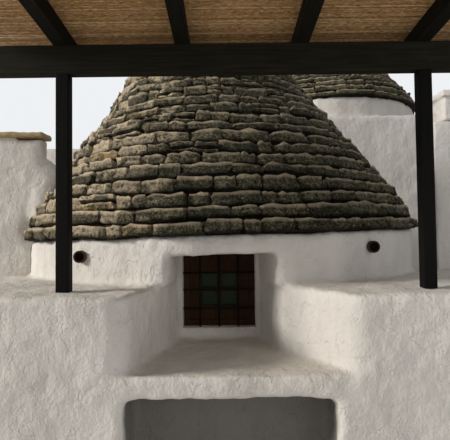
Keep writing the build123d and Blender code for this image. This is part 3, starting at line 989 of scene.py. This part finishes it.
def scatter_recipe(forms, material):
    """Sets one of several forms on each point, turned and sized as the point says."""
    recipe = Recipe("laid_stones")
    spread = recipe.value("Size factor", "NodeSocketFloat", 1.0)
    choices = [recipe.add("GeometryNodeObjectInfo", {"transform_space": "ORIGINAL"},
                          {"Object": form, "As Instance": True}, "Geometry") for form in forms]
    kinds = recipe.add("GeometryNodeGeometryToInstance", inputs={"Geometry": choices[::-1]})
    size = recipe.add("ShaderNodeVectorMath", {"operation": "SCALE"}, {
        "Vector": recipe.attribute("size", "FLOAT_VECTOR"), "Scale": spread}, "Vector")
    turned = recipe.add("FunctionNodeEulerToRotation", inputs={
        "Euler": recipe.attribute("turn", "FLOAT_VECTOR")})
    copies = recipe.add("GeometryNodeInstanceOnPoints", inputs={
        "Points": recipe.given(0), "Instance": kinds, "Pick Instance": True,
        "Instance Index": recipe.attribute("kind", "INT"), "Rotation": turned, "Scale": size})
    recipe.close(copies, material)
    return recipe


def scattered(name, rows, recipe):
    """A piece with one form on each point of its rows."""
    piece = new_piece(name, point_cloud(name, rows))
    return recipe.apply(piece, {"Size factor": 1.0})


def form_objects(meshes):
    return [bpy.data.objects.new(mesh.name, mesh) for mesh in meshes]


def roof_core(node, centre):
    """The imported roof's own mass, with its outside drawn in behind the stones."""
    mesh = node_copy([node])
    places = coordinates(mesh)
    away = places[:, :2] - np.array(centre)
    reach = np.hypot(away[:, 0], away[:, 1])
    radius_at = roof_profile(node, centre)
    outside = reach > np.array([radius_at(z) for z in places[:, 2]]) - OUTER_BAND
    drawn = np.maximum(reach - CORE_INSET, 0.01) / np.maximum(reach, 1e-6)
    places[:, :2] = np.array(centre) + away * np.where(outside, drawn, 1.0)[:, None]
    set_coordinates(mesh, places)
    return mesh


def roughen_stones(mesh):
    """Pits and swellings that run over the stone faces."""
    places = coordinates(mesh)
    push_out(mesh, sum(depth * unevenness(places, waves, shift) for waves, depth, shift in RELIEF))


def lean_cone(mesh, low, high, sizes):
    """Tilts the eave and leans the upper cone to the left, back to upright at the tip."""
    places = coordinates(mesh)
    height = (places[:, 2] - low.z) / (high.z - low.z)
    places[:, 2] += eave_rise(places, sizes) * np.clip(1 - 2 * height, 0, 1)
    places[:, 0] -= sizes.cone_lean * np.interp(height, LEAN_HEIGHTS, LEAN_SHARES)
    set_coordinates(mesh, places)


def cone_centre(node):
    low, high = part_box(node)
    return ((low.x + high.x) / 2, (low.y + high.y) / 2)


class TRULLO_OT_stone_roofs(bpy.types.Operator):
    """Lays the limestone courses of both cones"""
    bl_idname = "trullo.stone_roofs"
    bl_label = "Stone roofs"

    def execute(self, context):
        sizes = context.scene.trullo_stones
        limestone = limestone_finish()
        forms = form_objects(stone_form(k) for k in range(STONE_KINDS))
        recipe = scatter_recipe(forms, limestone)
        for name, node, finial in (("main_cone_stones", "main_roof", "main_pinnacle"),
                                   ("second_cone_stones", "second_roof", "second_pinnacle")):
            centre = cone_centre(finial)
            piece = scattered(name, lay_courses(node, centre, sizes), recipe)
            roughen_stones(piece.data)
            join_in(piece.data, roof_core(node, centre))
            if node == "main_roof":
                lean_cone(piece.data, *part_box(node), context.scene.trullo_masonry)
            smooth_shaded(piece.data)
            piece.data.set_sharp_from_angle(angle=SHARP_ANGLE)
            coat(piece, limestone)
            settle(piece, "roof_stone", node)
        for form in forms:
            bpy.data.objects.remove(form)
        return {"FINISHED"}


# Pinnacles

PINNACLE_SIDES = 48
# Foot, neck and disc of a finial, as shares of its radius and height
FINIAL_SHARES = (
    (0.83, 0.0), (0.80, 0.03), (0.53, 0.22), (0.50, 0.26), (0.50, 0.45),
    (0.96, 0.462), (1.0, 0.48), (1.0, 0.505), (0.96, 0.52), (0.40, 0.53),
)
BALL_SHARE, BALL_STEPS = 0.83, 12


def pinnacle_profile(low, high):
    """Radius and height pairs of a stone finial, from its foot to its tip."""
    radius = (high.x - low.x) / 2
    tall = high.z - low.z
    points = [(0.0, low.z)]
    points += [(radius * across, low.z + tall * up) for across, up in FINIAL_SHARES]
    ball = radius * BALL_SHARE
    for i in range(2, BALL_STEPS):
        turn = math.pi * (i / BALL_STEPS - 0.5)
        points.append((ball * math.cos(turn), high.z - ball + ball * math.sin(turn)))
    points.append((0.0, high.z))
    return points


def lathed(name, profile, centre):
    """A turned form from a list of radius and height pairs."""
    return lofted(name, [
        [(centre[0] + x, centre[1] + y, height)
         for x, y in circle(radius, PINNACLE_SIDES if radius else 1)]
        for radius, height in profile])


class TRULLO_OT_pinnacles(bpy.types.Operator):
    """Turns the stone finials of both cones"""
    bl_idname = "trullo.pinnacles"
    bl_label = "Pinnacles"

    def execute(self, context):
        stone = plain_stone_finish("carved_stone", *CARVED_STONE)
        for node in ("main_pinnacle", "second_pinnacle"):
            name = f"{node}_stone"
            mesh = lathed(name, pinnacle_profile(*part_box(node)), cone_centre(node))
            settle(new_piece(name, mesh, stone), "roof_stone", node)
        return {"FINISHED"}


# Window, ironwork and spouts

# A bar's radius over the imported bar's depth, and a collar's over the bar's, with its half length
BAR_SHARE, COLLAR_SHARE, COLLAR_HALF = 0.6, 1.35, 1.5
# The painted shade in a spout's bore, a dark disc: its distance from the mouth, thickness and
# clearance
BORE_DEPTH, BORE_END, BORE_CLEARANCE, BORE_SIDES = 0.02, 0.02, 0.0008, 32
WINDOW_WEAR = 0.004


class TRULLO_OT_window(bpy.types.Operator):
    """Gives the window its worn wood and its old panes"""
    bl_idname = "trullo.window"
    bl_label = "Window"

    def execute(self, context):
        wood = wood_finish("window_wood", *WINDOW_WOOD, "Z")
        for node in ("window_frame", "window_leaf_left", "window_leaf_right"):
            settle(softened(f"{node}_wood", node, wood, WINDOW_WEAR), "window_wood", node)
        coat(NODES["window_panes"], glass_finish())
        return {"FINISHED"}


def grille_lines(axis):
    """Middles of the grille's bars along one axis, read from the node's own corners."""
    low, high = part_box("window_grille")
    values = np.unique(np.round(coordinates(NODES["window_grille"].data)[:, axis], 4))
    inner = [v for v in values if low[axis] + 1e-3 < v < high[axis] - 1e-3]
    return [(a + b) / 2 for a, b in zip(inner, inner[1:]) if abs(b - a - (high.y - low.y)) < 2e-3]


class TRULLO_OT_grille(bpy.types.Operator):
    """Forges the round bars and collars of the window grille"""
    bl_idname = "trullo.grille"
    bl_label = "Window grille"

    def execute(self, context):
        low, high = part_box("window_grille")
        radius = BAR_SHARE * (high.y - low.y)
        y = (low.y + high.y) / 2
        iron = iron_finish()
        bm = bmesh.new()
        columns = grille_lines(0)
        for x in columns:
            add_bar(bm, Vector((x, y, low.z)), Vector((x, y, high.z)), radius)
        for z in grille_lines(2):
            add_bar(bm, Vector((low.x, y, z)), Vector((high.x, y, z)), radius)
            for x in columns:
                half = Vector((0, 0, radius * COLLAR_HALF))
                crossing = Vector((x, y, z))
                add_bar(bm, crossing - half, crossing + half, radius * COLLAR_SHARE)
        mesh = cast(bm, "grille_bars")
        smooth_shaded(mesh)
        settle(new_piece("grille_bars", mesh, iron), "iron", "window_grille")
        return {"FINISHED"}


def spout_hollows():
    """Dark discs in the two spout bores, a little way in from their mouths: painted shade."""
    places = coordinates(NODES["drain_spouts"].data)
    bm = bmesh.new()
    for side in (-1, 1):
        pipe = places[places[:, 0] * side > 0]
        middle = (pipe.min(axis=0) + pipe.max(axis=0)) / 2
        bore = np.hypot(pipe[:, 0] - middle[0], pipe[:, 2] - middle[2]).min()
        start = Vector((middle[0], pipe[:, 1].min() + BORE_DEPTH, middle[2]))
        add_bar(bm, start, start + Vector((0, BORE_END, 0)), bore - BORE_CLEARANCE, BORE_SIDES)
    return cast(bm, "spout_hollows")


class TRULLO_OT_spouts(bpy.types.Operator):
    """Gives the roof spouts their dark clay and a dark disc of painted shade in each bore"""
    bl_idname = "trullo.spouts"
    bl_label = "Roof spouts"

    def execute(self, context):
        coat(NODES["drain_spouts"], clay_finish())
        # Painted shade: a dark disc set in each bore
        dark = Finish("spout_dark", gloss=0.0).finish(SPOUT_BORE_SHADE, 1.0)
        settle(new_piece("spout_hollows", spout_hollows(), dark), "clay")
        return {"FINISHED"}


# Pergola

# Which way each timber's grain runs, and a brightness factor for each that paints light and shade:
# the beams lighter and the posts darker than the same stain
TIMBERS = (("pergola_posts", "Z", 0.3), ("pergola_beams", "X", 2.4), ("pergola_rafters", "Y", 1.2))
TIMBER_WEAR, TIMBER_ROUGHNESS = 0.006, 0.75
REED_SIDES, REED_KNOTS, KNOT_HALF, KNOT_SWELL = 5, (0.2, 0.5, 0.8), 0.01, 1.15
# Corners this near to an end of the mat belong to that end
MAT_END = 0.02
# Layers of reeds, as shares of the mat's thickness from its middle
REED_LAYERS = (-0.21, 0.21)
# By chance: place along the mat, length, thickness, place across and the two turns of a reed
REED_STRAY, REED_LENGTHS, REED_THICKNESSES = 0.35, (0.975, 1.0), (0.7, 1.25)
REED_SLIDE, REED_DIP, REED_SWING = 0.02, 0.0012, 0.0022


class TRULLO_OT_pergola(bpy.types.Operator):
    """Gives the pergola's posts, beams and rafters their dark stained timber"""
    bl_idname = "trullo.pergola"
    bl_label = "Pergola timber"

    def execute(self, context):
        dark = tuple(context.scene.trullo_colours.timber)
        for node, along, painted_brightness in TIMBERS:
            # Lit and shaded copies of one stain: painted light on the beams and painted shade on
            # the posts
            timber = wood_finish(f"{node}_timber", shade(dark, painted_brightness), shade(dark, 2 * painted_brightness), along,
                                 TIMBER_ROUGHNESS)
            settle(softened(f"{node}_wood", node, timber, TIMBER_WEAR), "dark_timber", node)
        return {"FINISHED"}


def reed_form():
    """One reed along X in a unit box, with knots."""
    marks = [(0.0, 1.0), (1.0, 1.0)]
    for knot in REED_KNOTS:
        marks += [(knot - KNOT_HALF, 1.0), (knot, KNOT_SWELL), (knot + KNOT_HALF, 1.0)]
    return lofted("reed", [[(along - 0.5, y, z) for y, z in circle(0.5 * swell, REED_SIDES)]
                           for along, swell in sorted(marks)])


def mat_frame():
    """Origin, run, left side, right side and thickness of the cane mat."""
    places = coordinates(NODES["cane_mat"].data)
    low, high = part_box("cane_mat")
    near, far = (places[np.abs(places[:, 1] - y) < MAT_END] for y in (low.y, high.y))
    start, end = (Vector((0, side[:, 1].mean(), side[:, 2].mean())) for side in (near, far))
    return start, end - start, low.x, high.x, near[:, 2].max() - near[:, 2].min()


def lay_reeds(sizes):
    """Place, turn, size and tint of each reed, layer on layer."""
    rng = random.Random(sizes.seed)
    start, run, left, right, thick = mat_frame()
    count = int(run.length / sizes.pitch)
    reeds = []
    for layer in REED_LAYERS:
        for i in range(count):
            place = start + run * ((i + 0.5 + REED_STRAY * rng.uniform(-1, 1)) / count)
            length = (right - left) * rng.uniform(*REED_LENGTHS)
            thickness = sizes.thickness * rng.uniform(*REED_THICKNESSES)
            reeds.append({
                "place": ((left + right) / 2 + rng.uniform(-REED_SLIDE, REED_SLIDE), place.y,
                          place.z + layer * thick),
                "turn": (math.atan2(run.z, run.y), rng.uniform(-REED_DIP, REED_DIP),
                         rng.uniform(-REED_SWING, REED_SWING)),
                "size": (length, thickness, thickness),
                "tint": rng.random(),
                "kind": 0,
            })
    return reeds


class TRULLO_OT_cane_mat(bpy.types.Operator):
    """Lays the reeds of the pergola's mat"""
    bl_idname = "trullo.cane_mat"
    bl_label = "Cane mat"

    def execute(self, context):
        forms = form_objects([reed_form()])
        recipe = scatter_recipe(forms, cane_finish())
        piece = scattered("cane_reeds", lay_reeds(context.scene.trullo_cane), recipe)
        smooth_shaded(piece.data)
        bpy.data.objects.remove(forms[0])
        settle(piece, "cane", "cane_mat")
        return {"FINISHED"}


# Coping, door and floors

# The coping: the share of its thickness that shows over its bed, and its own unevenness
COPING_SHOWN, COPING_GRAIN, COPING_CHIPS = 0.7, 0.014, 0.03
COPING_SWELL, COPING_RIPPLE = 0.010, 0.007
DOOR_BOARDS, BOARD_GAP, DOOR_WEAR = 6, 0.004, 0.005


class TRULLO_OT_coping(bpy.types.Operator):
    """Lays the ochre slabs on the left yard wall"""
    bl_idname = "trullo.coping"
    bl_label = "Yard wall coping"

    def execute(self, context):
        stone = plain_stone_finish("ochre_stone", *OCHRE_STONE)
        mesh = node_copy(["yard_wall_coping"])
        places = coordinates(mesh)
        top = places[:, 2].max()
        places[:, 2] = top - COPING_SHOWN * (top - places[:, 2])
        set_coordinates(mesh, places)
        piece = fused("coping_slabs", mesh, COPING_GRAIN, 1)
        chipped(piece.data, COPING_CHIPS)
        lumpy(piece.data, COPING_SWELL, COPING_RIPPLE)
        coat(piece, stone)
        settle(piece, "coping_stone", "yard_wall_coping")
        return {"FINISHED"}


class TRULLO_OT_door(bpy.types.Operator):
    """Boards the back door and gives it its wood"""
    bl_idname = "trullo.door"
    bl_label = "Back door"

    def execute(self, context):
        wood = wood_finish("door_wood", *DOOR_WOOD, "Z")
        casing = softened("door_frame_wood", "door_frame", wood, DOOR_WEAR)
        settle(casing, "door_wood", "door_frame")
        low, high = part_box("door_leaf")
        width = (high.x - low.x) / DOOR_BOARDS
        bm = bmesh.new()
        for i in range(DOOR_BOARDS):
            side = low.x + i * width + BOARD_GAP / 2
            add_block(bm, Vector((side, low.y, low.z)),
                      Vector((side + width - BOARD_GAP, high.y, high.z)))
        piece = worn_edges(new_piece("door_boards", cast(bm, "door_boards"), wood), DOOR_WEAR)
        settle(piece, "door_wood", "door_leaf")
        return {"FINISHED"}


class TRULLO_OT_floors(bpy.types.Operator):
    """Gives the two floors their worn stone"""
    bl_idname = "trullo.floors"
    bl_label = "Floors"

    def execute(self, context):
        stone = plain_stone_finish("floor_stone", *FLOOR_STONE)
        for node in ("main_floor", "rear_floor"):
            coat(NODES[node], stone)
        return {"FINISHED"}


# Stage

PALE_FLOOR = (0.80, 0.79, 0.77)
FLOOR_DROP, FLOOR_SIDES = 0.002, 64
SKY_COLOUR, BACKDROP_COLOUR = (0.95, 0.97, 1.0), (0.86, 0.88, 0.90)
SENSOR_WIDTH = 36.0
# Place, target and width of the two lamps, and their colours
KEY_LAMP = ((-55.3, -12.4, 23.8), (0.3, -1.2, 1.8), 13.6, (1.0, 0.96, 0.90))
FILL_LAMP = ((5.0, -9.0, 3.0), (0.0, -1.5, 1.5), 5.0, (1.0, 1.0, 1.0))


def area_lamp(name, power, place, target, width, colour):
    lamp = bpy.data.lights.new(name, "AREA")
    lamp.shape = "DISK"
    lamp.size = width
    lamp.energy = power
    lamp.color = colour
    holder = bpy.data.objects.new(name, lamp)
    holder.location = place
    holder.rotation_euler = (Vector(target) - Vector(place)).to_track_quat("-Z", "Y").to_euler()
    bpy.context.scene.collection.objects.link(holder)


class TRULLO_OT_stage(bpy.types.Operator):
    """Sets the floor, the soft lamps, the pale surroundings and the camera"""
    bl_idname = "trullo.stage"
    bl_label = "Stage"

    def execute(self, context):
        sizes = context.scene.trullo_stage
        self.lay_floor(sizes.floor_reach)
        self.light_world(context.scene, sizes.sky_light)
        area_lamp("key", sizes.key_power, *KEY_LAMP)
        area_lamp("fill", sizes.fill_power, *FILL_LAMP)
        self.aim_camera(context.scene, sizes)
        context.scene.view_settings.view_transform = "Standard"
        return {"FINISHED"}

    def lay_floor(self, reach):
        bm = bmesh.new()
        bmesh.ops.create_circle(bm, cap_ends=True, segments=FLOOR_SIDES, radius=reach,
                                matrix=Matrix.Translation((0, 0, CAD_BOX[0].z - FLOOR_DROP)))
        mesh = cast(bm, "floor")
        f = Finish("pale_floor")
        f.finish(PALE_FLOOR, 0.9)
        new_piece("floor", mesh, f.material)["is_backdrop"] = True

    def light_world(self, scene, strength):
        """Even light from all round, with a pale backdrop for the eye, mirrors and glass."""
        scene.world = bpy.data.worlds.new("surroundings")
        scene.world.use_nodes = True
        sky = Plan(scene.world.node_tree)
        light = sky.tree.nodes["Background"]
        sky.feed(light.inputs["Color"], SKY_COLOUR)
        sky.feed(light.inputs["Strength"], strength)
        backdrop = sky.add("ShaderNodeBackground", inputs={"Color": BACKDROP_COLOUR})
        shown = sky.add("ShaderNodeLightPath", output="Is Camera Ray")
        for kind in ("Is Glossy Ray", "Is Transmission Ray"):
            shown = shown.math("MAXIMUM", shown, sky.add("ShaderNodeLightPath", output=kind))
        mixed = sky.add("ShaderNodeMixShader", inputs={
            0: shown, 1: Wire(sky, light.outputs[0]), 2: backdrop})
        sky.feed(sky.tree.nodes["World Output"].inputs["Surface"], mixed)

    def aim_camera(self, scene, sizes):
        data = bpy.data.cameras.new("camera")
        data.lens = sizes.lens
        data.sensor_width = SENSOR_WIDTH
        camera = bpy.data.objects.new("camera", data)
        scene.collection.objects.link(camera)
        camera.location = (sizes.eye_x, sizes.eye_y, sizes.eye_z)
        turn = Euler((math.pi / 2 + sizes.tilt, 0.0, 0.0)).to_matrix()
        camera.rotation_euler = (turn @ Matrix.Rotation(sizes.roll, 3, "Z")).to_euler()
        scene.camera = camera


# Registration and main

GROUPS = (
    ("trullo_masonry", MasonrySizes),
    ("trullo_stones", StoneSizes),
    ("trullo_cane", CaneSizes),
    ("trullo_colours", HouseColours),
    ("trullo_stage", StageSizes),
)
OPERATORS = (
    TRULLO_OT_masonry, TRULLO_OT_stone_roofs, TRULLO_OT_pinnacles, TRULLO_OT_window,
    TRULLO_OT_grille, TRULLO_OT_spouts, TRULLO_OT_pergola, TRULLO_OT_cane_mat, TRULLO_OT_coping,
    TRULLO_OT_door, TRULLO_OT_floors, TRULLO_OT_stage,
)


class TRULLO_PT_panel(bpy.types.Panel):
    """Lists the pieces of the house and their sizes"""
    bl_idname = "TRULLO_PT_panel"
    bl_label = "Trullo House"
    bl_space_type = "VIEW_3D"
    bl_region_type = "UI"
    bl_category = "Trullo"

    def draw(self, context):
        for operator in OPERATORS:
            self.layout.operator(operator.bl_idname)
        for name, group in GROUPS:
            box = self.layout.box()
            for key in group.__annotations__:
                box.prop(getattr(context.scene, name), key)


def register():
    for name, group in GROUPS:
        bpy.utils.register_class(group)
        setattr(bpy.types.Scene, name, bpy.props.PointerProperty(type=group))
    for operator in OPERATORS:
        bpy.utils.register_class(operator)
    bpy.utils.register_class(TRULLO_PT_panel)


def unregister():
    bpy.utils.unregister_class(TRULLO_PT_panel)
    for operator in reversed(OPERATORS):
        bpy.utils.unregister_class(operator)
    for name, group in reversed(GROUPS):
        delattr(bpy.types.Scene, name)
        bpy.utils.unregister_class(group)


def main():
    register()
    for operator in OPERATORS:
        category, name = operator.bl_idname.split(".")
        getattr(getattr(bpy.ops, category), name)()
    cad, shown = ([list(corner) for corner in box] for box in (CAD_BOX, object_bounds()))


if __name__ == "__main__":
    main()
